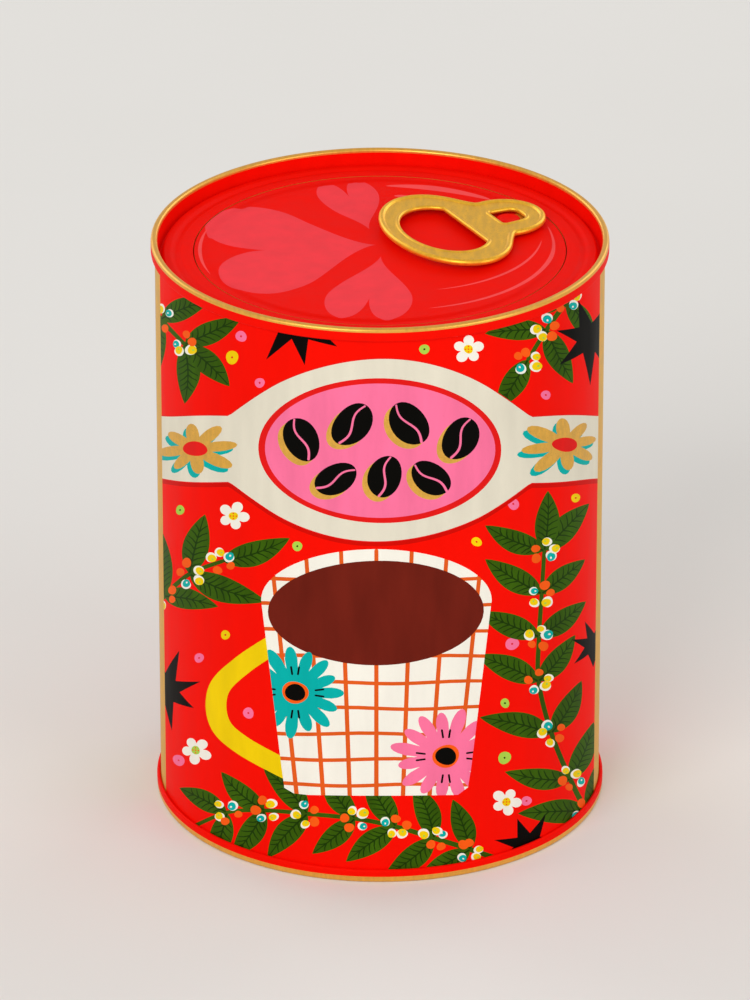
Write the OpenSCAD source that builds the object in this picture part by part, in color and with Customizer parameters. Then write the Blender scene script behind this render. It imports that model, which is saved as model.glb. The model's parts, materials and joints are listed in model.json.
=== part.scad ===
// Ring-pull coffee tin: a printed tinplate can with a double-seamed bottom end and a full-aperture
// easy-open end. Z is up, the origin is the middle of the base, and the front of the print faces -Y.

/* [Can body] */
// Outside diameter of the cylindrical wall
body_d = 99; // [96:0.5:104]
// Overall height, from the bottom seam's crown to the top seam's crown
can_h = 134; // [100:1:180]
// Tinplate thickness of the body and of both ends
plate_t = 0.25; // [0.2:0.01:0.28]

/* [Double seams] */
// Height of each double seam
seam_h = 3; // [2.7:0.1:3.4]
// Air between neighbouring layers of a seam
seam_gap = 0.05; // [0.03:0.01:0.06]
// Bend radius of the end over the seam's crown, at mid-thickness
crown_r = 0.45; // [0.44:0.01:0.55]

/* [Ends] */
// Depth from the crown to the outer face of the end panel
panel_drop = 3.2; // [3:0.1:3.6]
// Depth from the crown to the floor of the countersink
countersink = 4.8; // [4.6:0.1:5.4]
// Radius of the score line that the tear panel breaks along
score_r = 41; // [40.8:0.1:43]
// Width of the torn score line
score_gap = 0.2; // [0.15:0.01:0.3]
// Distance from the tin's axis to the line where the tear panel bends as it is peeled
bend_line = 34; // [30:0.5:36]

/* [Pull tab] */
// Direction of the tab's nose, counted from +X towards +Y
tab_angle = 28; // [0:1:359]
// Distance from the tin's axis to the tip of the nose
nose_r = 40.4; // [39.6:0.2:40.4]
// Length of the tab from the nose to the far side of the ring
tab_len = 37; // [36:0.5:39]
// Width of the finger ring
ring_w = 40; // [34:0.5:41]
// Width of the nose
nose_w = 18.6; // [17:0.2:21]
// Thickness of the tab over its curled edges
tab_t = 1.5; // [1.4:0.05:1.6]
// Height of the tab's underside above the panel
tab_lift = 0.55; // [0.5:0.05:0.6]

/* [Hidden] */
$fn = 180;

body_r = body_d / 2;
seam_pitch = plate_t + seam_gap;
panel_z = -panel_drop - plate_t / 2;   // mid-thickness of the end panels below the crown
hook_top = 1.1;                        // depth of the cover hook's tip below the crown
hook_room = 0.1;                       // air under the body hook's tip
crown_z = -plate_t / 2 - crown_r;      // depth of the crown's bend centres
hook_z = -seam_h + plate_t / 2 + seam_pitch;   // depth of the bend centre at the seam's foot

// Mid-thickness radius of a seam layer: -1 chuck wall, 0 body wall, 1 cover hook, 2 body hook,
// 3 seaming wall
function layer(k) = body_r - plate_t / 2 + k * seam_pitch;

// ---- sheet metal profiles, as a mid-thickness path of [radius, height] points ----

function arc(centre, r, from, to, steps = 8) =
    [for (i = [0:steps]) let (a = from + (to - from) * i / steps) centre + r * [cos(a), sin(a)]];

function unit(v) = v / norm(v);
function left_of(v) = [-v[1], v[0]];

// Mitred normal at point i of an open path
function path_normal(p, i) =
    let (before = unit(p[max(i, 1)] - p[max(i, 1) - 1]),
         after = unit(p[min(i, len(p) - 2) + 1] - p[min(i, len(p) - 2)]),
         n = unit(left_of(before) + left_of(after)))
    n / (n * left_of(before));

// Outline of a sheet of thickness t that follows an open path
function sheet(p, t) = concat(
    [for (i = [0:len(p) - 1]) p[i] + t / 2 * path_normal(p, i)],
    [for (i = [len(p) - 1:-1:0]) p[i] - t / 2 * path_normal(p, i)]);

// Smooth bead of a panel: 1 in its middle and 0 from half_width outwards
function bead(r, middle, half_width) =
    abs(r - middle) < half_width ? (1 + cos(180 * (r - middle) / half_width)) / 2 : 0;

// The end's seam, from the chuck wall over the crown to the tip of the cover hook
seam_path = concat(
    arc([layer(-1) + crown_r, crown_z], crown_r, 180, 90),
    arc([layer(3) - crown_r, crown_z], crown_r, 90, 0),
    arc([layer(2), hook_z], seam_pitch, 0, -180),
    [[layer(1), -hook_top]]);

// The body's flange, from the wall over to the tip of the body hook
flange_r = crown_r - seam_pitch;
flange_path = concat(
    arc([layer(0) + flange_r, crown_z], flange_r, 180, 90, 4),
    arc([layer(2) - flange_r, crown_z], flange_r, 90, 0, 4),
    [[layer(2), hook_z + hook_room]]);

// The countersink, from the panel's edge down, round and up into the chuck wall
sink_bend = 0.55;
panel_bend = 0.45;
chuck_slope = 0.25;                    // how far the chuck wall leans in towards its foot
chuck_foot = 0.2;                      // the chuck wall starts to lean this far below the seam
sink_r = layer(-1) - chuck_slope - sink_bend;
sink_z = -countersink - plate_t / 2 + sink_bend;
panel_edge = sink_r - sink_bend - panel_bend;
sink_path = concat(
    arc([panel_edge, panel_z - panel_bend], panel_bend, 90, 0),
    arc([sink_r, sink_z], sink_bend, 180, 360),
    [[layer(-1), -seam_h - chuck_foot]]);

// Height of the easy-open panel's mid-thickness: a groove near the score and a shallow finger dish
groove_r = 38.6;
groove_half = 1.3;
groove_depth = 0.45;
dish_edge = 30;
dish_slope = 9;
dish_depth = 0.4;
function dish(r) = r >= dish_edge ? 0 : r <= dish_edge - dish_slope ? 1
    : (1 - cos(180 * (dish_edge - r) / dish_slope)) / 2;
function lid_z(r) = panel_z - groove_depth * bead(r, groove_r, groove_half) - dish_depth * dish(r);

// Height of the bottom panel's mid-thickness: two expansion beads round a raised middle
bottom_beads = [39, 31];
bead_half = 2.5;
bead_depth = 0.7;
base_edge = panel_edge - 2;           // the flat rim of the bottom panel starts here
function base_z(r) = panel_z - bead_depth * (bead(r, bottom_beads[0], bead_half)
    + bead(r, bottom_beads[1], bead_half));

// Each panel from its middle out to a radius
function lid_path(to, steps) = [for (i = [0:steps]) let (r = to * i / steps) [r, lid_z(r)]];
function base_path(to, steps) = [for (i = [0:steps]) let (r = to * i / steps) [r, base_z(r)]];

// Ring-side bead between the score and the countersink
ring_bead_r = 45;
ring_bead_half = 1.4;
ring_bead_depth = 0.4;
ring_path = [for (i = [0:12])
    let (r = ring_bead_r + ring_bead_half * (i / 6 - 1))
    [r, panel_z - ring_bead_depth * bead(r, ring_bead_r, ring_bead_half)]];

// ---- plan shapes of the pull tab, u from the nose towards the ring and v across ----

nose_len = 19;                     // length of the nose's ellipse
ring_len = 26;                     // length of the ring's ellipse
neck_blend = 6;                    // rounding between nose and ring
ring_mid = tab_len - ring_len / 2;
axis_u = tab_t / 2;                // the tab turns about the middle of its nose's curled edge
hem = 1.5;                         // width of the curled edge round the outside
lip = 1.1;                         // width of the curled edge round each opening
web_t = 0.35;                      // the sheet between them
web_drop = 0.4;                    // depth of that sheet below the curled edges
web_lap = 0.5;                     // how far it runs into them

function ellipse_half(u, middle, half_len, half_w) =
    half_w * sqrt(max(0, 1 - pow((u - middle) / half_len, 2)));
function smooth_max(a, b, k) = k <= 0 ? max(a, b)
    : let (h = max(k - abs(a - b), 0) / k) max(a, b) + h * h * k / 4;
function tab_half(u) =
    let (nose = ellipse_half(u, nose_len / 2, nose_len / 2, nose_w / 2),
         ring = ellipse_half(u, ring_mid, ring_len / 2, ring_w / 2))
    smooth_max(nose, ring, min(neck_blend, 2 * min(nose, ring)));

tab_steps = 44;
function tab_u(i) = tab_len * (1 - cos(180 * i / tab_steps)) / 2;
tab_outline = concat(
    [for (i = [0:tab_steps]) [tab_u(i), -tab_half(tab_u(i))]],
    [for (i = [tab_steps - 1:-1:1]) [tab_u(i), tab_half(tab_u(i))]]);

// The finger hole is an ellipse with a flat side towards the nose
hole_mid = ring_mid + 0.4;
hole_half_len = 8.6;
hole_half_w = 13;
hole_flat = ring_mid - 4.9;
hole_end_angle = acos((hole_flat - hole_mid) / hole_half_len);
finger_hole = [for (i = [0:28])
    let (a = hole_end_angle * (i / 14 - 1))
    [hole_mid + hole_half_len * cos(a), hole_half_w * sin(a)]];

// The window shows the rivet
rivet_u = 8.2;
window = [[4.9, -3.2], [11.2, -3.6], [11.2, 3.6], [4.9, 3.2]];

// A closed outline, listed counter-clockwise, moved outwards by d
function inflate(p, d) = [for (i = [0:len(p) - 1])
    let (n = len(p),
         before = unit(p[i] - p[(i + n - 1) % n]),
         after = unit(p[(i + 1) % n] - p[i]),
         out = -unit(left_of(before) + left_of(after)))
    p[i] + d / max(0.5, -out * left_of(before)) * out];

// ---- rivet and tongue ----

rivet_shank_r = 1.5;
rivet_head_r = 2.6;
rivet_head_t = 0.5;
tongue_t = 0.4;
tongue_w = 4.4;
tongue_root = 2.0;
seat_gap = 0.05;                   // air under the tongue and under the rivet's head
rivet_hole_r = 1.6;

// ---- helpers ----

module from_top() translate([0, 0, can_h]) children();
module from_bottom() mirror([0, 0, 1]) children();
module revolve(p, t) rotate_extrude() polygon(sheet(p, t));

// Puts children drawn in the tab's plan on the panel, the nose at nose_r
module on_panel(lift)
    rotate([0, 0, tab_angle]) translate([nose_r, 0, can_h - panel_drop + lift])
        rotate([0, 0, 180]) children();

// The tear panel as one sheet, before it is divided at the bend line
module whole_panel()
    from_top() revolve(lid_path(score_r - score_gap / 2, 60), plate_t);

// Everything on the nose's side (side 1) or the heel's side (side -1) of the bend line
bend_gap = 0.5;
module side_of_bend(side)
    rotate([0, 0, tab_angle])
        translate([-bend_line + side * (bend_gap / 2 + body_d), 0, can_h - panel_drop])
            cube([2 * body_d, 2 * body_d, 2 * countersink], center = true);

// ---- parts ----

lap_angle = 1.6;                   // the welded lap of the side seam, centred on -X
lap_clear = 0.4;                   // the lap stops this far short of each seam
module can_body() color("red") {
    revolve(concat(
        [for (i = [len(flange_path) - 1:-1:0]) [flange_path[i][0], -flange_path[i][1]]],
        [for (p = flange_path) p + [0, can_h]]), plate_t);
    rotate([0, 0, 180 - lap_angle / 2])
        rotate_extrude(angle = lap_angle)
            translate([body_r - plate_t / 2, seam_h + lap_clear])
                square([plate_t, can_h - 2 * (seam_h + lap_clear)]);
}

module top_ring() color("goldenrod")
    from_top() revolve(concat(
        [[score_r + score_gap / 2, panel_z]], ring_path, sink_path, seam_path), plate_t);

module bottom_end() color("goldenrod")
    from_bottom() revolve(concat(base_path(base_edge, 70), sink_path, seam_path), plate_t);

module tear_panel() color("red") intersection() {
    whole_panel();
    side_of_bend(1);
}

module panel_heel() color("red") intersection() {
    whole_panel();
    side_of_bend(-1);
}

module rivet() color("red") on_panel(0) translate([rivet_u, 0, 0]) {
    cylinder(r = rivet_shank_r, h = 2 * seat_gap + tongue_t + rivet_head_t);
    translate([0, 0, 2 * seat_gap + tongue_t]) cylinder(r = rivet_head_r, h = rivet_head_t);
}

module tab_tongue() color("goldenrod") on_panel(seat_gap) linear_extrude(tongue_t) difference() {
    union() {
        translate([tongue_root, -tongue_w / 2]) square([rivet_u - tongue_root, tongue_w]);
        translate([rivet_u, 0]) circle(r = tongue_w / 2);
    }
    translate([rivet_u, 0]) circle(r = rivet_hole_r);
}

module pull_tab() color("goldenrod") on_panel(tab_lift) {
    linear_extrude(tab_t) difference() {
        polygon(tab_outline);
        polygon(inflate(tab_outline, -hem));
    }
    for (opening = [finger_hole, window]) linear_extrude(tab_t) difference() {
        polygon(inflate(opening, lip));
        polygon(opening);
    }
    translate([0, 0, tab_t - web_t - web_drop]) linear_extrude(web_t) difference() {
        polygon(inflate(tab_outline, web_lap - hem));
        polygon(inflate(finger_hole, lip - web_lap));
        polygon(inflate(window, lip - web_lap));
    }
}

// Rubber lining compound in the space above the cover hook's tip
compound_gap = 0.02;
module compound() rotate_extrude()
    translate([layer(0) + plate_t / 2 + compound_gap, -hook_top + compound_gap])
        square([2 * seam_pitch - plate_t - 2 * compound_gap,
                hook_top + crown_z + flange_r - plate_t / 2 - 2 * compound_gap]);

module top_seam_compound() color("dimgray") from_top() compound();
module bottom_seam_compound() color("dimgray") from_bottom() compound();

can_body();
bottom_end();
top_ring();
panel_heel();
tear_panel();
rivet();
tab_tongue();
pull_tab();
top_seam_compound();
bottom_seam_compound();
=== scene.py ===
"""Ring-pull coffee tin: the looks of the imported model.

Everything is made in millimetres and scaled to metres when a mesh is built. The front of the tin
faces -Y. The printed design is drawn flat, cut into one piece for each ink, and wrapped on the wall.
"""

import json
import math
import random

import bpy
import numpy as np
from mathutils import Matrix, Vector
from mathutils.geometry import delaunay_2d_cdt


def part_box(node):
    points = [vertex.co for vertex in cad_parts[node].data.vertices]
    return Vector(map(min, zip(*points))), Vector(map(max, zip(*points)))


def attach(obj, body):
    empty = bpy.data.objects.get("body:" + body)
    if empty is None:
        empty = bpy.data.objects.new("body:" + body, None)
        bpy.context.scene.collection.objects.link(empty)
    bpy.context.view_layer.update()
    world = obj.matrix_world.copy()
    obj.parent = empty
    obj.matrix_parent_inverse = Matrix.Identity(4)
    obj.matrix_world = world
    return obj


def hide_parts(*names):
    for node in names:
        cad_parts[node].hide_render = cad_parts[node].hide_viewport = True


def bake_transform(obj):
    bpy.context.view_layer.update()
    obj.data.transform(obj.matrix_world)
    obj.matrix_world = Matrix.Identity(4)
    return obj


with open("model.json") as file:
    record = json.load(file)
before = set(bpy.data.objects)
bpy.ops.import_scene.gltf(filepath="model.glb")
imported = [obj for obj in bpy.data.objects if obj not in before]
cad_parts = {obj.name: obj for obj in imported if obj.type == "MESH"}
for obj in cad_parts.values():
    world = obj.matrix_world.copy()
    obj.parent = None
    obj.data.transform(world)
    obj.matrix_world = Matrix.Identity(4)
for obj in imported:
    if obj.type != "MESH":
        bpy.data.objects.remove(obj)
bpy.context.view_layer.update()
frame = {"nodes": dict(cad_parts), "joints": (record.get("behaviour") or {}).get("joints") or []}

MM = 0.001
TAU = 2 * math.pi

# ---- sizes from the frame ----

joints = {j["name"]: j for j in frame["joints"]}
seam_box = [[c / MM for c in corner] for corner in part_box("top_ring")]
CAN_H = seam_box[1][2]
SEAM_R = seam_box[1][0]
PEEL_X, PEEL_Y, PEEL_Z = (c / MM for c in joints["panel_peel"]["pos_m"])
LIFT_X, LIFT_Y, LIFT_Z = (c / MM for c in joints["tab_lift"]["pos_m"])

# ---- sheet metal, as in the CAD parts ----

SHEET = 0.25                      # tinplate thickness
PITCH = 0.3                       # from one layer of a seam to the next
BODY_R = SEAM_R - 3 * PITCH
SEAM_H = 3.0
CROWN_R = 0.45                    # mid-thickness radius of the seam's top bends
PANEL_Z = PEEL_Z - CAN_H          # mid-thickness of the end panels below the crown
SINK_DEPTH = 4.8                  # from the crown down to the countersink's floor
SINK_BEND = 0.55
PANEL_BEND = 0.45
SCORE_R = 41.0
SCORE_GAP = 0.2
BEAD_R, BEAD_HALF, BEAD_DEPTH = 45, 1.4, 0.4            # outside the score
GROOVE_R, GROOVE_HALF, GROOVE_DEPTH = 38.6, 1.3, 0.45   # inside the score
DISH_R, DISH_SLOPE, DISH_DEPTH = 30, 9, 0.4             # the shallow dish under the tab's ring
BASE_BEADS, BASE_BEAD_HALF, BASE_BEAD_DEPTH = (39, 31), 2.5, 0.7
COAT = 0.03                       # thickness of the print
TURNS = 240                       # steps round a full turn
JOIN = 20000                      # points that round to the same 1 / JOIN mm are one point

TAB_T = 1.5                       # thickness over the curled edge
TAB_LEN = 37.0
TAB_ANGLE = math.atan2(LIFT_Y, LIFT_X)
NOSE_R = math.hypot(LIFT_X, LIFT_Y) + TAB_T / 2
NOSE_LEN, NOSE_HALF = 9.5, 9.3    # half length and half width of the nose's ellipse
RING_LEN, RING_HALF = 13, 20      # the same of the ring's ellipse
RING_MID = TAB_LEN - RING_LEN
RIVET_U = 8.2                     # from the nose to the rivet
BEND_R = math.hypot(PEEL_X, PEEL_Y)


def linear(hex_colour):
    """sRGB hex to a linear RGBA colour."""
    channels = [int(hex_colour[i:i + 2], 16) / 255 for i in (0, 2, 4)]
    return [c / 12.92 if c <= 0.04045 else ((c + 0.055) / 1.055) ** 2.4 for c in channels] + [1.0]


# ---- materials ----

class Nodes:
    """A new material with a Principled shader, and short calls to add what drives it."""

    def __init__(self, name):
        self.mat = bpy.data.materials.new(name)
        self.mat.use_nodes = True
        self.tree = self.mat.node_tree
        self.shader = self.tree.nodes["Principled BSDF"]
        self.place = self.add("ShaderNodeTexCoord").outputs["Object"]

    def add(self, kind, **values):
        node = self.tree.nodes.new(kind)
        for key, value in values.items():
            setattr(node, key, value)
        return node

    def link(self, out, into):
        self.tree.links.new(out, into)

    def noise(self, scale, detail=4.0, stretch=(1, 1, 1)):
        """Noise with features about 1000 / scale mm across, squeezed by stretch."""
        mapping = self.add("ShaderNodeMapping")
        mapping.inputs["Scale"].default_value = stretch
        self.link(self.place, mapping.inputs["Vector"])
        node = self.add("ShaderNodeTexNoise")
        node.inputs["Scale"].default_value = scale
        node.inputs["Detail"].default_value = detail
        self.link(mapping.outputs["Vector"], node.inputs["Vector"])
        return node.outputs["Fac"]

    def remap(self, value, low, high, to_low, to_high):
        node = self.add("ShaderNodeMapRange")
        for key, number in zip(("From Min", "From Max", "To Min", "To Max"),
                               (low, high, to_low, to_high)):
            node.inputs[key].default_value = number
        self.link(value, node.inputs["Value"])
        return node.outputs["Result"]

    def mix(self, share, a, b):
        """Colour a or b by share. Each is a colour or an output."""
        node = self.add("ShaderNodeMix", data_type="RGBA")
        self.link(share, node.inputs["Factor"])
        for socket, value in ((node.inputs[6], a), (node.inputs[7], b)):
            if isinstance(value, bpy.types.NodeSocket):
                self.link(value, socket)
            else:
                socket.default_value = value
        return node.outputs[2]

    def bump(self, height, strength, distance):
        node = self.add("ShaderNodeBump")
        node.inputs["Strength"].default_value = strength
        node.inputs["Distance"].default_value = distance
        self.link(height, node.inputs["Height"])
        self.link(node.outputs["Normal"], self.shader.inputs["Normal"])

    def set(self, **values):
        for key, value in values.items():
            self.shader.inputs[key.replace("_", " ")].default_value = value


def scaled(colour, factor):
    """A linear colour made lighter or darker."""
    return [min(1.0, c * factor) for c in colour[:3]] + [1.0]


def ink_material(name, colour, streaks=0.1):
    """Gouache-like litho ink under satin varnish: brush streaks, fine mottling and a faint tooth."""
    m = Nodes(name)
    base = linear(colour)
    brush = m.noise(220, 5, (1, 1, 0.22))
    tone = m.mix(m.remap(brush, 0.3, 0.7, 0, 1), scaled(base, 1 - streaks), scaled(base, 1 + streaks))
    grain = m.noise(2600, 3)
    spotted = m.mix(m.remap(grain, 0.62, 0.74, 0, 0.35), tone, scaled(base, 1 - 2.2 * streaks))
    m.link(spotted, m.shader.inputs["Base Color"])
    m.link(m.remap(brush, 0.3, 0.7, 0.42, 0.54), m.shader.inputs["Roughness"])
    m.bump(grain, 0.12, 0.00004)
    m.set(Specular_IOR_Level=0.03)
    return m.mat


def gold_material(name, colour, roughness, streaks, grain, stretch=(1, 1, 1), metallic=0.7):
    """Gold-lacquered tinplate or gold ink: a fine rolled or brushed grain with darker specks."""
    m = Nodes(name)
    base = linear(colour)
    streak = m.noise(grain, 6, stretch)
    tone = m.mix(m.remap(streak, 0.32, 0.68, 0, 1), scaled(base, 1 - streaks), scaled(base, 1 + streaks))
    fleck = m.noise(3000, 2)
    flecked = m.mix(m.remap(fleck, 0.58, 0.7, 0, 0.7), tone, scaled(base, 1 - 2.4 * streaks))
    m.link(flecked, m.shader.inputs["Base Color"])
    m.link(m.remap(streak, 0.3, 0.7, roughness - 0.05, roughness + 0.08), m.shader.inputs["Roughness"])
    m.bump(m.remap(fleck, 0.3, 0.7, 0, 1), 0.25, 0.00003)
    m.set(Metallic=metallic)
    return m.mat


def lining_material(name):
    """Cured sealing compound: dull grey rubber with a fine grain."""
    m = Nodes(name)
    grain = m.noise(1500, 4)
    m.link(m.mix(grain, linear("6f6f6b"), linear("8b8b86")), m.shader.inputs["Base Color"])
    m.bump(grain, 0.3, 0.00005)
    m.set(Roughness=0.8)
    return m.mat


def weld_material(name):
    """Bare welded tinplate: silver with a ripple along the seam."""
    m = Nodes(name)
    ripple = m.noise(900, 3, (1, 1, 2.5))
    m.link(m.mix(ripple, linear("8f8f8f"), linear("c9c7c2")), m.shader.inputs["Base Color"])
    m.link(m.remap(ripple, 0.3, 0.7, 0.3, 0.5), m.shader.inputs["Roughness"])
    m.bump(ripple, 0.5, 0.00006)
    m.set(Metallic=1.0)
    return m.mat


INKS = {
    "ground": "f40c00", "shadow": "cf0a02", "line": "e01a18", "cream": "dfd8c5", "pink": "f5729b",
    "black": "080705", "teal": "05aca6", "white": "f1ede1", "orange": "f55c14", "coffee": "6a1e13",
    "yellow": "efcb08", "leaf": "365808", "vein": "1b3604", "lime": "a8cf4a", "check": "dd5a1c",
}
STREAKY = {"leaf": 0.24, "cream": 0.05, "white": 0.04, "ground": 0.03, "coffee": 0.14}
inks = {name: ink_material("ink_" + name, colour, STREAKY.get(name, 0.07))
        for name, colour in INKS.items()}
inks["gold"] = gold_material("ink_gold", "dda840", 0.5, 0.1, 900, (1, 1, 0.5), 0.45)
lid_red = ink_material("lid_red", "f40c00", 0.03)
# painted highlight: a lighter red for the heart shapes on the lid
heart_highlight_red = ink_material("heart_highlight_red", "f73f48", 0.05)
# painted highlight: a lighter red for the thin arcs on the lid
painted_highlight_red = ink_material("painted_highlight_red", "fb4f50", 0.05)
lacquer = gold_material("gold_lacquer", "ecb04a", 0.34, 0.06, 1400, (1, 0.05, 0.1))
tab_gold = gold_material("tab_gold", "f7bc34", 0.38, 0.09, 1100, (1, 0.25, 1))
lining = lining_material("lining")
weld = weld_material("weld")


# ---- meshes ----

def piece(name, verts, faces, materials, body, slot, slots=None, normals=None, sharp=None):
    """A mesh piece from points in millimetres. Equal points are joined and empty faces dropped.

    slots gives each face's material, and normals each face's list of corner normals.
    """
    index, joined, new = {}, [], []
    for v in verts:
        key = tuple(round(c * JOIN) for c in v)
        if key not in index:
            index[key] = len(joined)
            joined.append([c * MM for c in v])
        new.append(index[key])
    kept = []
    for i, face in enumerate(faces):
        corners = [new[v] for v in face]
        keep = [k for k in range(len(corners)) if corners[k] != corners[k - 1]]
        if len({corners[k] for k in keep}) > 2:
            kept.append((i, keep, [corners[k] for k in keep]))
    mesh = bpy.data.meshes.new(name)
    mesh.from_pydata(joined, [], [c for _, _, c in kept])
    for m in materials:
        mesh.materials.append(m)
    if slots:
        mesh.polygons.foreach_set("material_index", [slots[i] for i, _, _ in kept])
    mesh.polygons.foreach_set("use_smooth", [True] * len(kept))
    mesh.update()
    if sharp:
        mesh.set_sharp_from_angle(angle=math.radians(sharp))
    if normals:
        mesh.normals_split_custom_set([normals[i][k] for i, keep, _ in kept for k in keep])
    mesh.validate()
    obj = bpy.data.objects.new(name, mesh)
    bpy.context.scene.collection.objects.link(obj)
    if body:
        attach(obj, body)
    return obj


def arc(cx, cz, r, start, stop, steps=10):
    """Points along an arc, angles in degrees."""
    angles = [math.radians(start + (stop - start) * i / steps) for i in range(steps + 1)]
    return [(cx + r * math.cos(a), cz + r * math.sin(a)) for a in angles]


def left_normals(path, closed=False):
    """The mitred left-hand normal at each point of a path."""
    n = len(path)
    out = []
    for i in range(n):
        a, b = path[i - 1 if closed or i else 0], path[i]
        c = path[(i + 1) % n if closed else min(i + 1, n - 1)]
        sides = []
        for p, q in ((a, b), (b, c)):
            d = math.dist(p, q)
            if d > 1e-9:
                sides.append(((p[1] - q[1]) / d, (q[0] - p[0]) / d))
        nx, ny = sum(s[0] for s in sides), sum(s[1] for s in sides)
        size = math.hypot(nx, ny)
        nx, ny = nx / size, ny / size
        mitre = max(0.5, nx * sides[0][0] + ny * sides[0][1])
        out.append((nx / mitre, ny / mitre))
    return out


def band_of(path, near, far):
    """The closed outline between two offsets to the left of a path."""
    sides = list(zip(path, left_normals(path)))
    return ([(p[0] + far * n[0], p[1] + far * n[1]) for p, n in sides]
            + [(p[0] + near * n[0], p[1] + near * n[1]) for p, n in reversed(sides)])


def revolve(name, outline, material, body, slot, start=0.0, stop=TAU, turns=TURNS):
    """A closed outline of (radius, height) points turned about the tin's axis."""
    full = stop - start >= TAU - 1e-6
    rings = turns if full else turns + 1
    n = len(outline)
    verts = []
    for i in range(rings):
        a = start + (stop - start) * i / turns
        verts += [(r * math.cos(a), r * math.sin(a), z) for r, z in outline]
    faces = []
    for i in range(turns):
        here, there = i * n, (i + 1) % rings * n
        faces += [(here + k, here + (k + 1) % n, there + (k + 1) % n, there + k) for k in range(n)]
    if not full:
        faces += [tuple(range(n))[::-1], tuple(range((rings - 1) * n, rings * n))]
    obj = piece(name, verts, faces, [material], body, slot, sharp=40)
    if signed_volume(obj.data) < 0:
        obj.data.flip_normals()
    return obj


def signed_volume(mesh):
    """Six times a closed mesh's volume, negative where its faces point inwards."""
    mesh.calc_loop_triangles()
    co = [v.co for v in mesh.vertices]
    return sum(co[a].dot(co[b].cross(co[c])) for a, b, c in (t.vertices for t in mesh.loop_triangles))


def covers(outline, points):
    """Which of an array of points a closed outline runs round, by its winding number."""
    x, y = points[:, 0], points[:, 1]
    turns = np.zeros(len(points), int)
    for (ax, ay), (bx, by) in zip(outline, outline[1:] + outline[:1]):
        left = (bx - ax) * (y - ay) - (x - ax) * (by - ay)
        turns += ((ay <= y) & (by > y) & (left > 0)).astype(int)
        turns -= ((ay > y) & (by <= y) & (left < 0)).astype(int)
    return turns != 0


def cut_up(shapes, guides=()):
    """Divides the first shape, and gives (flat points, triangles, the ink of each triangle).

    shapes are (ink, points, index of a shape that clips it or None), later ones on top.
    """
    points, edges = [], []
    for path in [list(s[1]) + [s[1][0]] for s in shapes] + list(guides):
        first = len(points)
        points += [Vector(p) for p in path]
        edges += [(k, k + 1) for k in range(first, len(points) - 1)]
    flat, _, triangles, *_ = delaunay_2d_cdt(points, edges, [], 0, 1e-5)
    at = np.array([tuple(p) for p in flat])
    middles = at[np.array(triangles)].mean(axis=1)
    top = np.full(len(triangles), -1)
    regions = {}
    clips = {clip for _, _, clip in shapes if clip is not None}
    for i, (_, outline, clip) in enumerate(shapes):
        box = np.array(outline)
        near = np.flatnonzero(((middles >= box.min(axis=0)) & (middles <= box.max(axis=0))).all(axis=1))
        hit = near[covers(outline, middles[near])]
        if clip is not None:
            hit = hit[regions[clip][hit]]
        if i in clips:
            regions[i] = np.zeros(len(triangles), bool)
            regions[i][hit] = True
        if i > 0:
            hit = hit[top[hit] >= 0]
        top[hit] = i
    kept = [k for k in range(len(triangles)) if top[k] >= 0]
    return [tuple(p) for p in flat], [triangles[k] for k in kept], [shapes[top[k]][0] for k in kept]


def skin(flat, triangles, front, back, is_open=lambda p: False):
    """Vertices and faces of the closed skin between front(p) and back(p) over flat triangles.

    The faces come in three lists: front, back and sides. A side is left out where is_open says so.
    """
    used = sorted({v for t in triangles for v in t})
    at = {v: i for i, v in enumerate(used)}
    n = len(used)
    verts = [front(flat[v]) for v in used] + [back(flat[v]) for v in used]
    turned = [[at[v] for v in t] for t in triangles]
    directed = {(t[k], t[(k + 1) % 3]) for t in turned for k in range(3)}
    rim = [(a, b) for a, b in directed if (b, a) not in directed
           and not (is_open(flat[used[a]]) and is_open(flat[used[b]]))]
    return (verts, [tuple(t) for t in turned], [tuple(v + n for v in reversed(t)) for t in turned],
            [(b, a, a + n, b + n) for a, b in sorted(rim)])


# ---- ends: profiles ----

def layer(k):
    """Mid-thickness radius of a seam layer: -1 chuck wall, 0 wall, 1 cover hook, 2 body hook, 3 outside."""
    return BODY_R - SHEET / 2 + k * PITCH


CROWN_Z = -SHEET / 2 - CROWN_R
HOOK_Z = -SEAM_H + SHEET / 2 + PITCH
HOOK_TOP = 1.1                    # depth of the cover hook's end below the crown
SINK_R = layer(-1) - 0.25 - SINK_BEND
SINK_Z = -SINK_DEPTH - SHEET / 2 + SINK_BEND
PANEL_EDGE = SINK_R - SINK_BEND - PANEL_BEND
GOLD_LINE = 0.8                   # depth of the gold line below the top rim's crown
BASE_LINE = 1.45                  # height of the gold line at the foot

sink_path = (arc(PANEL_EDGE, PANEL_Z - PANEL_BEND, PANEL_BEND, 90, 0)
             + arc(SINK_R, SINK_Z, SINK_BEND, 180, 360, 16) + [(layer(-1), -SEAM_H - 0.2)])
crown_path = (arc(layer(-1) + CROWN_R, CROWN_Z, CROWN_R, 180, 90)
              + arc(layer(3) - CROWN_R, CROWN_Z, CROWN_R, 90, 0))
foot_path = arc(layer(2), HOOK_Z, PITCH, 0, -180) + [(layer(1), -HOOK_TOP)]


def hollow(r, middle, half_width):
    """1 in the middle of a bead and 0 from half_width outwards."""
    d = abs(r - middle)
    return (1 + math.cos(math.pi * d / half_width)) / 2 if d < half_width else 0.0


def lid_depth(r):
    """Mid-thickness of the easy-open panel: a groove near the score and a shallow finger dish."""
    dish = min(1.0, max(0.0, (DISH_R - r) / DISH_SLOPE))
    return (PANEL_Z - GROOVE_DEPTH * hollow(r, GROOVE_R, GROOVE_HALF)
            - DISH_DEPTH * (1 - math.cos(math.pi * dish)) / 2)


def base_depth(r):
    """Mid-thickness of the bottom panel, with its two beads."""
    return PANEL_Z - BASE_BEAD_DEPTH * sum(hollow(r, middle, BASE_BEAD_HALF) for middle in BASE_BEADS)


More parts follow.
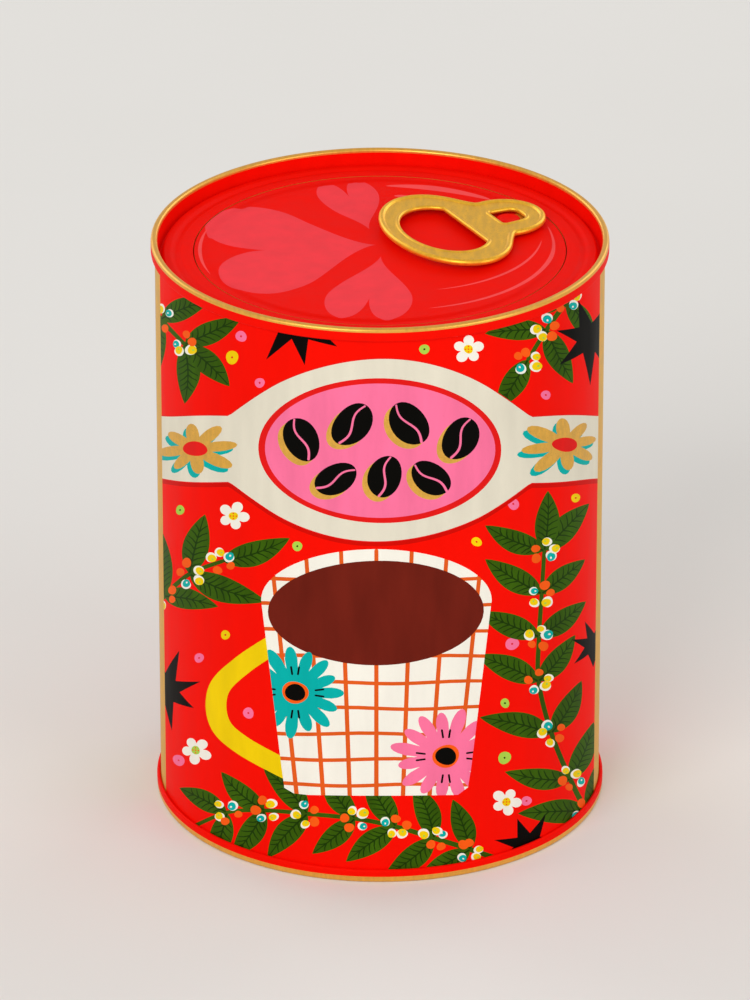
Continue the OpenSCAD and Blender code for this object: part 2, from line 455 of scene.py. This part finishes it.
def turned_up(outline, top):
    """An end's profile at the top of the tin, or turned over at its foot."""
    return [(r, CAN_H + z) if top else (r, -z) for r, z in outline]


def make_ends():
    """The ring outside the score, the bottom end, and the red lacquer on both."""
    ring = [(SCORE_R + SCORE_GAP / 2, PANEL_Z)]
    ring += [(r, PANEL_Z - BEAD_DEPTH * hollow(r, BEAD_R, BEAD_HALF))
             for r in (BEAD_R - BEAD_HALF + BEAD_HALF / 10 * i for i in range(21))]
    steps = 110
    base = [(r, base_depth(r)) for r in ((PANEL_EDGE - 2) * i / steps for i in range(steps + 1))]
    for name, inner, top, slot in (("top_ring", ring, True, "red_lacquered_end"),
                                   ("bottom_end", base, False, "gold_lacquered_end")):
        path = inner + sink_path + crown_path + foot_path
        sheet = revolve(name + "_sheet", turned_up(band_of(path, -SHEET / 2, SHEET / 2), top),
                        lacquer, "can", slot)
        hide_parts(name)
        line = -GOLD_LINE if top else -BASE_LINE
        wall = [(layer(3), line), (layer(3), HOOK_Z)] + foot_path[1:9]
        revolve(name + "_red_wall", turned_up(band_of(wall, SHEET / 2, SHEET / 2 + COAT), top),
                lid_red, "can", slot)
    inside = ring + sink_path + [(layer(-1), -GOLD_LINE)]
    revolve("top_ring_red_inside", turned_up(band_of(inside, SHEET / 2, SHEET / 2 + COAT), True),
            lid_red, "can", "red_lacquered_end")


def make_wall():
    """The rolled tinplate wall with its hooks, the welded lap inside and the weld outside."""
    bend = CROWN_R - PITCH
    hook = (arc(layer(0) + bend, CROWN_Z, bend, 180, 90, 4)
            + arc(layer(2) - bend, CROWN_Z, bend, 90, 0, 4) + [(layer(2), HOOK_Z + 0.1)])
    path = [(r, -z) for r, z in reversed(hook)] + [(r, CAN_H + z) for r, z in hook]
    wall = revolve("body_sheet", band_of(path, -SHEET / 2, SHEET / 2), lacquer, "can",
                   "printed_tinplate")
    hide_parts("can_body")
    low, high = SEAM_H + 0.4, CAN_H - SEAM_H - 0.4
    half = math.radians(0.8)
    for name, near, far, width, material in (
            ("side_lap", BODY_R - 2 * SHEET, BODY_R - SHEET, half, lacquer),
            ("side_weld", BODY_R + COAT, BODY_R + 2 * COAT, half / 2, weld)):
        revolve(name, [(near, low), (far, low), (far, high), (near, high)], material, "can",
                "printed_tinplate", math.pi - width, math.pi + width, 4)


# ---- lid panel ----

def heart(tip, notch, width, dip=0.12, steps=90):
    """A heart with its tip and notch at two points, and its full width across. dip deepens the notch."""
    ux, uy = notch[0] - tip[0], notch[1] - tip[1]
    size = math.hypot(ux, uy)
    ux, uy = ux / size, uy / size
    out = []
    for i in range(steps):
        t = TAU * i / steps
        across = width / 2 * math.sin(t) ** 3
        along = (17 + 13 * math.cos(t) - 5 * math.cos(2 * t) - 2 * math.cos(3 * t)
                 - math.cos(4 * t)) / 22 - dip * max(0, math.cos(t)) ** 8
        along *= size / (1 - dip)
        out.append((tip[0] + along * ux - across * uy, tip[1] + along * uy + across * ux))
    return out


def painted_highlight_arc(first_r, last_r, start, stop, width):
    """A painted highlight: a thin lighter arc that drifts from one radius to another and tapers at both
    ends, in degrees.
    """
    steps = 40
    outer, inner = [], []
    for i in range(steps + 1):
        t = i / steps
        a = math.radians(start + (stop - start) * t)
        r = first_r + (last_r - first_r) * t
        w = width / 2 * math.sin(math.pi * t) ** 0.6
        outer.append(((r + w) * math.cos(a), (r + w) * math.sin(a)))
        inner.append(((r - w) * math.cos(a), (r - w) * math.sin(a)))
    return outer + inner[-2:0:-1]


def make_panel():
    """Tear panel and heel as one sheet, with rows of points across the peel line."""
    edge = SCORE_R - SCORE_GAP / 2
    shapes = [(0, arc(0, 0, edge, 0, 360, TURNS)[:-1], None)]
    # Three heart-shaped painted highlights on the lid, printed in a lighter red.
    shapes += [(1, outline, None) for outline in (
        heart((-0.8, 3.4), (-25, 0), 48), heart((-2.3, 11.8), (-6.8, 29), 13.5),
        heart((0.2, -2.8), (-2.3, -26), 19))]
    # Thin lighter-red arcs on the lid: painted highlights.
    shapes += [(2, outline, None) for outline in (
        painted_highlight_arc(39.8, 39.4, 164, 200, 0.8), painted_highlight_arc(33.5, 39.4, -72, 20, 1.0),
        painted_highlight_arc(24.5, 36, -60, 8, 0.8), painted_highlight_arc(37, 35.5, 48, 88, 2.6), painted_highlight_arc(30, 30, 77, 84, 1.4))]
    radii = ([4, 9, 14, 18, 20] + [21 + 0.75 * i for i in range(13)] + [32, 34, 36]
             + [37.3 + 0.13 * i for i in range(21)])
    guides = [arc(0, 0, r, 0, 360, 200) for r in radii]
    ux, uy = math.cos(TAB_ANGLE), math.sin(TAB_ANGLE)
    for i in range(-8, 9):
        along = -BEND_R + 0.25 * i
        half = math.sqrt(edge ** 2 - along ** 2) - 0.05
        guides.append([(along * ux - k / 4 * half * uy, along * uy + k / 4 * half * ux)
                       for k in range(-4, 5)])
    flat, triangles, tops = cut_up(shapes, guides)

    def surface(offset):
        return lambda p: (p[0], p[1], CAN_H + lid_depth(math.hypot(*p)) + offset)

    def upward(p, sign):
        r = max(math.hypot(*p), 1e-6)
        slope = (lid_depth(r + 0.01) - lid_depth(r - 0.01)) / 0.02
        return Vector((-slope * p[0] / r, -slope * p[1] / r, 1)).normalized() * sign

    verts, front, back, sides = skin(flat, triangles, surface(SHEET / 2), surface(-SHEET / 2))
    slots = tops + [3] * (len(back) + len(sides))
    normals = ([[upward(verts[v], 1) for v in f] for f in front]
               + [[upward(verts[v], -1) for v in f] for f in back]
               + [[Vector((verts[f[0]][0], verts[f[0]][1], 0)).normalized()] * 4 for f in sides])
    panel = piece("lid_panel", verts, front + back + sides, [lid_red, heart_highlight_red, painted_highlight_red, lacquer],
                  None, "red_lacquered_end", slots, normals)
    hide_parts("tear_panel", "panel_heel")
    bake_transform(panel)


# ---- pull tab ----

def on_lid(u, v, height):
    """A point u from the tab's nose and v across it, height above the panel, in the tin's frame."""
    along = NOSE_R - u
    ux, uy = math.cos(TAB_ANGLE), math.sin(TAB_ANGLE)
    return (along * ux + v * uy, along * uy - v * ux, height)


def smooth_max(a, b, k):
    """The larger of a and b, rounded off where they differ by less than k."""
    if k <= 0:
        return max(a, b)
    h = max(k - abs(a - b), 0) / k
    return max(a, b) + h * h * k / 4


def tab_half(u):
    """Half the tab's width: an elliptical nose blended into an elliptical ring."""
    nose = NOSE_HALF * math.sqrt(max(0, 1 - ((u - NOSE_LEN) / NOSE_LEN) ** 2))
    ring = RING_HALF * math.sqrt(max(0, 1 - ((u - RING_MID) / RING_LEN) ** 2))
    return smooth_max(nose, ring, min(6, 2 * min(nose, ring)))


def inset(outline, d):
    """A counter-clockwise outline moved inwards by d."""
    return [(p[0] + d * n[0], p[1] + d * n[1]) for p, n in zip(outline, left_normals(outline, True))]


def rounded(corners, radii, steps=6):
    """A counter-clockwise polygon with its corners rounded off."""
    out = []
    for i, (b, r) in enumerate(zip(corners, radii)):
        a, c = corners[i - 1], corners[(i + 1) % len(corners)]
        cuts = []
        for p in (a, c):
            t = r / math.dist(p, b)
            cuts.append((b[0] + (p[0] - b[0]) * t, b[1] + (p[1] - b[1]) * t))
        for k in range(steps + 1):
            t = k / steps
            out.append(tuple((1 - t) ** 2 * cuts[0][j] + 2 * t * (1 - t) * b[j] + t * t * cuts[1][j]
                             for j in (0, 1)))
    return out


def distance_to(outline):
    """A function that gives the distance from a point to a closed outline."""
    lines = list(zip(outline, outline[1:] + outline[:1]))

    def distance(p):
        best = 1e9
        for a, b in lines:
            dx, dy = b[0] - a[0], b[1] - a[1]
            t = ((p[0] - a[0]) * dx + (p[1] - a[1]) * dy) / (dx * dx + dy * dy)
            t = min(1, max(0, t))
            best = min(best, (p[0] - a[0] - t * dx) ** 2 + (p[1] - a[1] - t * dy) ** 2)
        return math.sqrt(best)
    return distance


def make_tab():
    """The folded tab: a thin web with curled edges round it, its finger hole and its window."""
    steps = 90
    us = [TAB_LEN * (1 - math.cos(math.pi * i / steps)) / 2 for i in range(steps + 1)]
    outline = [(u, -tab_half(u)) for u in us] + [(u, tab_half(u)) for u in us[-2:0:-1]]
    middle, flat_side, hole_len, hole_half = RING_MID + 0.4, RING_MID - 4.9, 8.6, 13
    end = math.acos((flat_side - middle) / hole_len)
    hole = [(middle + hole_len * math.cos(a), hole_half * math.sin(a))
            for a in (end * (i / 24 - 1) for i in range(49))]
    hole += [(flat_side, hole[-1][1] + (hole[0][1] - hole[-1][1]) * i / 12) for i in range(1, 12)]
    window = rounded([(4.9, -3.2), (11.2, -3.6), (11.2, 3.6), (4.9, 3.2)], (2.4, 0.9, 0.9, 2.4))
    shapes = [("tab", outline, None), ("open", hole, None), ("open", window, None)]
    inner_curl, curl_steps = 0.55, 10
    curls = [(outline, TAB_T / 2, 1), (hole, inner_curl, -1), (window, inner_curl, -1)]
    guides = []
    for edge, r, sign in curls:
        for k in range(1, curl_steps + 1):
            ring = inset(edge, sign * r * (1 - math.cos(math.pi * k / curl_steps)))
            guides.append(ring + ring[:1])
    flat, triangles, tops = cut_up(shapes, guides)
    triangles = [t for t, top in zip(triangles, tops) if top == "tab"]
    reach = [(distance_to(edge), r) for edge, r, _ in curls]
    middle_z, web_low, web_high = TAB_T / 2, 0.75, 1.1
    heights = {}

    def span(p):
        """Lowest and highest point of the folded sheet over a point of the plan."""
        if p not in heights:
            ds = [(distance(p), r) for distance, r in reach]
            curl = max(math.sqrt(max(0, r * r - (d - r) ** 2)) for d, r in ds)
            low, high = middle_z - curl, middle_z + curl
            if all(d > r for d, r in ds):
                low, high = min(low, web_low), max(high, web_high)
            heights[p] = (low, high)
        return heights[p]

    lift = LIFT_Z - TAB_T / 2
    verts, front, back, sides = skin(
        flat, triangles, lambda p: on_lid(p[0], p[1], lift + span(p)[1]),
        lambda p: on_lid(p[0], p[1], lift + span(p)[0]))
    tab = piece("folded_tab", verts, front + back + sides, [tab_gold], "tab", "gold_tab", sharp=60)
    if signed_volume(tab.data) < 0:
        tab.data.flip_normals()
    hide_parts("pull_tab")


def make_rivet():
    """The drawn rivet: a flattened button with a dimple, on its shank."""
    x, y, _ = on_lid(RIVET_U, 0, 0)
    low, high = (c[2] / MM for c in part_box("rivet"))
    head = high - 0.5
    outline = ([(0, low), (1.5, low), (1.5, head), (2.4, head)]
               + arc(2.35, head + 0.25, 0.25, -90, 90, 8) + [(1.9, high), (1.5, high - 0.04)]
               + [(1.1, high - 0.16), (0.6, high - 0.2), (0, high - 0.2)])
    rivet = revolve("drawn_rivet", outline, lid_red, None, "red_lacquered_end", turns=64)
    rivet.location = (x * MM, y * MM, 0)
    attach(rivet, "panel")
    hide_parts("rivet")


# ---- printed design ----

rng = random.Random(11)
ARCH = 22.0                       # the design rises by this much from the sides to the front
WIDEST = 1.8                      # the most that a motif near the side is widened
SIDE = math.radians(76.5)         # the gold side bands start here
HIDDEN = BODY_R * math.radians(84)  # nothing is drawn further round than this
QUARTER = BODY_R * math.pi / 2    # along the wall from the front to a side
drawing = []                      # (ink, points, index of the shape that clips it), from the ground up


def ink(name, points, clip=None):
    """Draws a shape on top of the design so far, and gives its index."""
    drawing.append((name, points, clip))
    return len(drawing) - 1


def to_sheet(s, h):
    """From s along the wall and h up the flat design to the unrolled wall."""
    s = max(-HIDDEN, min(HIDDEN, s))
    return (s, h + ARCH * math.cos(s / BODY_R))


def round_to(x):
    """From x across the front, as seen from it, to the way round the wall."""
    return BODY_R * math.asin(max(-1, min(1, x / BODY_R)))


def front(points):
    """Points of the flat design, seen from the front, on the unrolled wall."""
    return [to_sheet(round_to(x), h) for x, h in points]


def placed(points, x, h, turn=0.0):
    """A small motif at (x, h), turned in degrees, and widened where the wall turns away.

    It lies halfway between being widened evenly and looking right from the front.
    """
    c, s = math.cos(math.radians(turn)), math.sin(math.radians(turn))
    middle = round_to(x)
    wide = min(WIDEST, 1 / max(0.1, math.cos(middle / BODY_R)))
    out = []
    for px, py in points:
        across = px * c - py * s
        out.append(to_sheet((middle + wide * across + round_to(x + across)) / 2, h + px * s + py * c))
    return out


def blob(rx, ry, rough=0.05, steps=24):
    """An ellipse by hand: slightly out of round."""
    p, q = rng.uniform(0, TAU), rng.uniform(0, TAU)
    out = []
    for i in range(steps):
        a = TAU * i / steps
        r = 1 + rough * (math.sin(2 * a + p) + 0.6 * math.sin(3 * a + q))
        out.append((rx * r * math.cos(a), ry * r * math.sin(a)))
    return out


def rays(n, outer, inner, sharp=1.0, rough=0.08, steps=10):
    """A flower or star with n rays, which reach from inner to outer."""
    reach = [outer * (1 + rng.uniform(-rough, rough)) for _ in range(n)]
    out = []
    for i in range(n * steps):
        a = TAU * i / (n * steps)
        k = (i + steps // 2) // steps % n
        share = abs(math.cos(math.pi * i / steps)) ** sharp
        r = inner + (reach[k] - inner) * share
        out.append((r * math.cos(a), r * math.sin(a)))
    return out


def stroke(path, start, stop=None):
    """A brush stroke along a path, from one width to another, with round ends."""
    stop = start if stop is None else stop
    n = len(path) - 1
    normals = left_normals(path)
    left, right = [], []
    for i, (p, q) in enumerate(zip(path, normals)):
        w = (start + (stop - start) * i / n) / 2
        left.append((p[0] + w * q[0], p[1] + w * q[1]))
        right.append((p[0] - w * q[0], p[1] - w * q[1]))

    def cap(at, width, side):
        q = normals[at]
        forward = (q[1] * side, -q[0] * side)
        return [(path[at][0] + width / 2 * (math.cos(a) * forward[0] + math.sin(a) * side * q[0]),
                 path[at][1] + width / 2 * (math.cos(a) * forward[1] + math.sin(a) * side * q[1]))
                for a in (math.radians(turn) for turn in (-60, -30, 0, 30, 60))]
    return right + cap(n, stop, 1) + left[::-1] + cap(0, start, -1)


def curve(points, steps=6):
    """A smooth curve through points."""
    ends = [points[0]] + points + [points[-1]]
    out = []
    for a, b, c, d in zip(ends, ends[1:], ends[2:], ends[3:]):
        for k in range(steps):
            t = k / steps
            out.append(tuple(
                0.5 * (2 * b[j] + (c[j] - a[j]) * t + (2 * a[j] - 5 * b[j] + 4 * c[j] - d[j]) * t * t
                       + (3 * b[j] - a[j] - 3 * c[j] + d[j]) * t ** 3) for j in (0, 1)))
    return out + [points[-1]]


def leaf(x, h, angle, length, width):
    """A pointed leaf from its base at (x, h), with a midrib and side veins."""
    bow = length * rng.uniform(-0.06, 0.06)

    def rib(t):
        return (length * t, bow * math.sin(math.pi * t))

    def half(t):
        return width / 2 * math.sin(math.pi * t ** 0.82) ** 0.85

    ts = [i / 16 for i in range(17)]
    upper = [(rib(t)[0], rib(t)[1] + half(t)) for t in ts]
    lower = [(rib(t)[0], rib(t)[1] - half(t)) for t in ts[-2:0:-1]]
    ink("leaf", placed(upper + lower, x, h, angle)[::-1])
    ink("vein", placed(stroke([rib(0.03 + 0.92 * i / 8) for i in range(9)], 0.42, 0.2), x, h, angle))
    pairs = max(4, round(length / 2.1))
    for i in range(pairs):
        t = 0.12 + 0.68 * i / pairs
        for side in (1, -1):
            u = t + 0.1 + 0.02 * rng.uniform(-1, 1)
            tip = (rib(u)[0], rib(u)[1] + side * 0.8 * half(u))
            bend = ((rib(t)[0] + tip[0]) / 2 + 0.15, (rib(t)[1] + tip[1]) / 2 - 0.05 * side)
            ink("vein", placed(stroke([rib(t), bend, tip], 0.34, 0.2), x, h, angle))


def berry(x, h, colour, size):
    """A round berry: orange, or a lighter one with a white edge and a small spot of painted light: a white
    painted highlight on teal berries, lime painted shade on yellow ones.
    """
    turn = rng.uniform(0, 360)
    if colour == "orange":
        size *= 1.12
    else:
        ink("white", placed([(px - 0.16 * size, py) for px, py in blob(1.05 * size, size)], x, h, turn))
    ink(colour, placed([(px + 0.1 * size, py) for px, py in blob(0.84 * size, 0.8 * size)], x, h, turn))
    if colour != "orange":
        # painted light: lime painted shade on yellow berries, a white painted highlight on teal ones
        mark = "lime" if colour == "yellow" else "white"
        highlight_and_shade_spot = [(px + 0.3 * size, py) for px, py in blob(0.24 * size, 0.18 * size, steps=10)]
        ink(mark, placed(highlight_and_shade_spot, x, h, turn))


BERRY_COLOURS = ["orange", "yellow", "teal", "orange", "yellow"]


def sprig(stem, pairs, length, spread=(55, 48), end_leaf=True):
    """A stem through points: its foot, then nodes with berries.

    The first nodes carry pairs of leaves, spread to the left and right of the way it grows.
    """
    steps = 8
    path = curve(stem, steps)
    ink("leaf", front(stroke(path, 1.3, 0.9)))
    nodes = []
    for i in range(1, len(stem)):
        a, b = path[steps * i - 1], path[min(steps * i + 1, len(path) - 1)]
        nodes.append((stem[i], math.degrees(math.atan2(b[1] - a[1], b[0] - a[0]))))
    for (x, h), way in nodes[:pairs]:
        for angle in (spread[0], -spread[1]):
            size = length * rng.uniform(0.9, 1.08)
            leaf(x, h, way + angle + rng.uniform(-6, 6), size, 0.39 * size)
    if end_leaf:
        (x, h), way = nodes[-1]
        leaf(x, h, way, length, 0.39 * length)
    else:
        nodes.pop()
    for n, ((x, h), way) in enumerate(nodes):
        for i in range(5):
            a = math.radians(way + 72 * i + rng.uniform(-16, 16))
            r = rng.uniform(1.8, 2.7)
            berry(x + r * math.cos(a), h + r * math.sin(a), BERRY_COLOURS[(n + 2 * i) % 5],
                  rng.uniform(0.95, 1.3))


def dot(x, h, colour):
    """A speck with a small darker middle."""
    size = rng.uniform(1.1, 1.6)
    turn = rng.uniform(0, 180)
    ink(colour, placed(blob(size, size * 0.88), x, h, turn))
    ink("vein" if colour == "lime" else "line", placed(blob(0.26, 0.22, 0, 8), x, h, turn))


def blossom(x, h, size, centre):
    """A white five-petalled flower with a few orange specks in its middle."""
    ink("white", placed(rays(5, size, 0.5 * size, 0.7), x, h, rng.uniform(0, 72)))
    ink(centre, placed(blob(0.3 * size, 0.3 * size), x, h))
    for dx, dh in ((0, 0), (0.19, 0), (-0.19, 0), (0, 0.19), (0, -0.19)):
        speck = blob(0.06 * size, 0.06 * size, 0, 6)
        ink("orange", placed([(px + dx * size, py + dh * size) for px, py in speck], x, h))


def star(x, h, size, turn, points=7):
    """A black star with straight sides and uneven points."""
    outline = []
    for i in range(2 * points):
        a = math.pi * i / points + rng.uniform(-0.08, 0.08)
        r = size * (rng.uniform(0.8, 1.15) if i % 2 == 0 else rng.uniform(0.36, 0.44))
        outline.append((r * math.cos(a), r * math.sin(a)))
    ink("black", placed(outline, x, h, turn))


def daisy(x, h, size, petals, clip):
    """A many-petalled flower with a ringed dark eye and four pairs of dashes."""
    ink(petals, front([(x + px, h + py) for px, py in rays(15, size, 0.56 * size, 0.7, 0.12)]), clip)
    for i in range(4):
        for side in (-1, 1):
            a = math.radians(90 * i) + side * 0.14
            dash = [(x + r * math.cos(a), h + r * math.sin(a)) for r in (0.42 * size, 0.58 * size)]
            ink("black", front(stroke(dash, 0.45)), clip)
    ink("orange", front([(x + px, h + py) for px, py in blob(0.26 * size, 0.26 * size)]), clip)
    ink("black", front([(x + px, h + py) for px, py in blob(0.2 * size, 0.2 * size)]), clip)


def bean(x, h, turn, size):
    """A roasted bean with a gold shadow to its lower left and a wavy crease."""
    body = blob(size, 0.68 * size, 0.03, 32)
    crease = [(size * (0.92 * t), 0.13 * size * math.sin(math.pi * t))
              for t in (i / 8 - 1 for i in range(17))]
    c, s = math.cos(math.radians(turn)), math.sin(math.radians(turn))

    def laid(points, dx=0.0, dh=0.0):
        return front([(x + dx + px * c - py * s, h + dh + px * s + py * c) for px, py in points])
    for share in (1.0, 0.5):
        ink("gold", laid(body, -1.1 * share, -1.0 * share))
    ink("black", laid(body))
    ink("pink", laid(stroke(crease, 0.55, 0.4)))


BAND_H = 83.0                     # middle of the cream band, up the flat design
BAND_HALF = 7.8                   # half its height at the sides
SWELL_X, SWELL_H = 33, 21.5       # half width and half height of the ellipse round the oval


def band_half(x):
    """Half the cream band's height, which swells round the oval."""
    return smooth_max(SWELL_H * math.sqrt(max(0, 1 - (x / SWELL_X) ** 2)), BAND_HALF, 7)


def draw_band():
    """The cream band with its red edge and shadow, the oval of beans and the two gold flowers."""
    steps = 120
    ss = [HIDDEN * (2 * i / steps - 1) for i in range(steps + 1)]

    def edge(s, extra, side):
        x = BODY_R * math.sin(s / BODY_R)
        return to_sheet(s, BAND_H + side * (band_half(x) + extra) + 0.25 * math.sin(s / 7 + side))
    for name, above, below in (("shadow", -2, 1.2), ("line", 0.25, 0.25), ("cream", 0, 0)):
        ink(name, [edge(s, below, -1) for s in ss] + [edge(s, above, 1) for s in reversed(ss)])
    for name, rx, ry in (("line", 26.4, 17.2), ("pink", 25.1, 15.9)):
        ink(name, front([(x, BAND_H + h) for x, h in blob(rx, ry, 0.008, 90)]))
    for x, h, turn, size in ((-17, 2.6, 108, 5.4), (-6, 6.2, 58, 5.6), (6.2, 6.4, 122, 5.6),
                             (17.4, 2.8, 66, 5.4), (-9.6, -6.8, 28, 5), (1, -6.2, 75, 5.2),
                             (11, -6.6, 138, 5)):
        bean(x, BAND_H + h, turn, size)
    for x, h in ((-40.5, 83), (40.5, 84)):
        petals = [(1.2 * px, 0.92 * py) for px, py in rays(8, 7.4, 3.2, 1.2, 0.14)]
        ink("teal", placed([(px - 0.9, py - 0.9) for px, py in petals], x, h, 8))
        ink("gold", placed(petals, x, h, 8))
        ink("line", placed(blob(2.9, 1.7), x, h))


def draw_mug():
    """A mug of coffee with a check pattern and two daisies."""
    rim_h, rim_rise, foot_h = 46.8, 12.6, -0.8
    foot_half, flare, left_by = 20.2, 5, 0.8

    def half(h):
        return foot_half + flare * (h - foot_h) / (rim_h - foot_h)

    def on_mug(points):
        return front([(x - left_by, h) for x, h in points])
    handle = curve([(-22, 37), (-30, 31), (-35.6, 24.5), (-35.6, 16.5), (-30.5, 11), (-19, 4.5)], 8)
    ink("yellow", front(stroke(handle, 4.6, 4.8)))
    top = [(half(rim_h) * math.cos(a), rim_h + rim_rise * math.sin(a))
           for a in (math.pi * i / 36 for i in range(37))]
    sides = ([(-half(foot_h) - 0.1, foot_h + 1.6), (-half(foot_h) + 2, foot_h + 0.3)]
             + [(x, foot_h) for x in range(-15, 19, 3)] + [(half(foot_h), foot_h + 1.8)])
    down = [(-half(h), h) for h in range(42, 2, -6)]
    up = [(half(h), h) for h in range(6, 46, 6)]
    mug = ink("white", on_mug(top + down + sides + up))
    for k in range(-4, 5):
        line = [(0.29 * k * half(h), h) for h in range(-4, 62, 3)]
        ink("check", on_mug(stroke(line, 1.0, 0.9)), mug)
    for k in range(9):
        h = 1.8 + 6.3 * k
        line = [(x, h + 0.25 * math.sin(x / 5 + k)) for x in range(-28, 29, 4)]
        ink("check", on_mug(stroke(line, 0.95, 0.85)), mug)
    ink("coffee", on_mug([(x, 44 + h) for x, h in blob(23.4, 12.8, 0.012, 64)]))
    daisy(-18.6, 24.4, 10.8, "teal", mug)
    daisy(14.5, 8.8, 11.2, "pink", mug)


def draw_design(z_low, z_high):
    """Everything on one side of the tin, from the ground upwards."""
    ink("ground", [(-QUARTER, z_low), (QUARTER, z_low), (QUARTER, z_high), (-QUARTER, z_high)])
    for colour, spots in (
            ("pink", [(-30, 110), (-26, 99), (36, 96), (29, 70), (-40, 32), (-29, 19), (29, 36),
                      (32.5, -3), (-45, 6)]),
            ("yellow", [(-32, 105), (-34, 38), (43, 71), (21, 61)]),
            ("lime", [(-44, 68), (-18, 60), (9.5, 107), (27.5, 21.5), (27.5, 8)])):
        for x, h in spots:
            dot(x, h, colour)
    for x, h, centre in ((-32, 67, "yellow"), (19, 107, "yellow"), (-41, 9, "lime"), (28, -3, "yellow")):
        blossom(x, h, 3.4, centre)
    sprig([(-50, 117), (-48, 114), (-42.5, 108)], 2, 13.5, (72, 46))
    sprig([(44, 125), (40.5, 118.5), (36, 111.5), (32, 104.5)], 2, 13.5, (58, 55))
    sprig([(-51, 43), (-48, 46.5), (-42, 52.5), (-34.5, 56)], 2, 15, (46, 60))
    sprig([(51, -12.5), (46.5, -7), (42.5, 1.5), (38, 13.5), (35, 26.5), (35, 37.5), (35.5, 48),
           (36, 58.5)], 7, 14.5, (60, 48))
    sprig([(28, -18), (20, -14.5), (12, -11.5), (3.5, -8.5), (-5.5, -6.5), (-16, -5.5), (-25.5, -5),
           (-34, -6), (-43, -11)], 7, 14, (55, 48), False)
    for x, h, size, turn in ((-17.5, 113, 10, 20), (46, 109.5, 10, 10), (-47.5, 23.5, 9.3, 20),
                             (47.5, 34.5, 7, 10), (33, -14, 8, 10)):
        star(x, h, size, turn)
    draw_band()
    draw_mug()
    for side in (-1, 1):
        inner, outer = side * BODY_R * SIDE, side * QUARTER * 1.01
        low, high = z_low - 1, z_high + 1
        corners = [(inner, low), (outer, low), (outer, high), (inner, high)]
        ink("gold", corners if side > 0 else corners[::-1])


def make_print():
    """Wraps the design on the front and the back of the wall, one piece for each ink."""
    z_low, z_high = SEAM_H - 0.3, CAN_H - SEAM_H + 0.3
    draw_design(z_low, z_high)
    columns = 30
    guides = []
    for i in range(1, 2 * columns):
        s = QUARTER * (i / columns - 1)
        guides.append([(s, z_low), (s, z_high)])
    flat, triangles, tops = cut_up(drawing, guides)

    def wrapped(r, turn):
        return lambda p: (r * math.sin(p[0] / BODY_R + turn), -r * math.cos(p[0] / BODY_R + turn), p[1])

    for name in sorted(set(tops)):
        mine = [t for t, top in zip(triangles, tops) if top == name]
        verts, faces, normals = [], [], []
        for turn in (0, math.pi):
            new, outer, inner, sides = skin(flat, mine, wrapped(BODY_R + COAT, turn),
                                            wrapped(BODY_R, turn), lambda p: abs(p[0]) > QUARTER - 1e-3)
            out = [Vector((v[0], v[1], 0)).normalized() for v in new]
            normals += [[out[v] for v in f] for f in outer] + [[-out[v] for v in f] for f in inner]
            for f in sides:
                across = Vector(new[f[1]]) - Vector(new[f[0]])
                normals.append([across.cross(out[f[0]]).normalized()] * 4)
            faces += [tuple(v + len(verts) for v in f) for f in outer + inner + sides]
            verts += new
        piece("print_" + name, verts, faces, [inks[name]], "can", "printed_tinplate",
              normals=normals)


# ---- stage ----

def make_stage():
    """Pale floor and soft lights all round, strongest from the front left."""
    stage = Nodes("stage")
    tone = stage.noise(6, 3)
    stage.link(stage.mix(tone, linear("e6e4e0"), linear("ebe9e6")), stage.shader.inputs["Base Color"])
    stage.set(Roughness=0.95, Specular_IOR_Level=0.1)
    half = 4.0
    mesh = bpy.data.meshes.new("floor")
    mesh.from_pydata([(-half, -half, 0), (half, -half, 0), (half, half, 0), (-half, half, 0)], [],
                     [(0, 1, 2, 3)])
    mesh.materials.append(stage.mat)
    floor = bpy.data.objects.new("floor", mesh)
    bpy.context.scene.collection.objects.link(floor)

    world = bpy.data.worlds.new("studio")
    world.use_nodes = True
    world.node_tree.nodes["Background"].inputs["Color"].default_value = (1, 0.99, 0.97, 1)
    world.node_tree.nodes["Background"].inputs["Strength"].default_value = 0.55
    bpy.context.scene.world = world
    for name, place, watts in (
            ("key", (-0.9, -1.7, 1.2), 20), ("fill", (1.4, -1.2, 0.7), 9),
            ("back_left", (-1.3, 1.4, 1.0), 8), ("back_right", (1.2, 1.5, 1.1), 8)):
        light = bpy.data.lights.new(name, "AREA")
        light.size = 1.2
        light.energy = watts
        lamp = bpy.data.objects.new(name, light)
        lamp.location = place
        aim = Vector((0, 0, 0.07)) - Vector(place)
        lamp.rotation_euler = aim.to_track_quat("-Z", "Y").to_euler()
        bpy.context.scene.collection.objects.link(lamp)


def make_camera(elevation=25.3, distance=1.859, lens=300, aim=(-0.0011, 0.0698)):
    """A long lens, so that the tin shows almost no perspective."""
    e = math.radians(elevation)
    data = bpy.data.cameras.new("camera")
    data.lens = lens
    data.sensor_width = 36
    camera = bpy.data.objects.new("camera", data)
    target = Vector((aim[0], 0, aim[1]))
    camera.location = target + distance * Vector((0, -math.cos(e), math.sin(e)))
    camera.rotation_euler = (math.pi / 2 - e, 0, 0)
    bpy.context.scene.collection.objects.link(camera)
    bpy.context.scene.camera = camera
    bpy.context.scene.view_settings.view_transform = "Standard"


make_wall()
make_ends()
make_panel()
make_tab()
make_rivet()
make_print()
for node, material in (("tab_tongue", tab_gold), ("top_seam_compound", lining),
                       ("bottom_seam_compound", lining)):
    mesh = frame["nodes"][node].data
    mesh.materials.clear()
    mesh.materials.append(material)
make_stage()
make_camera()
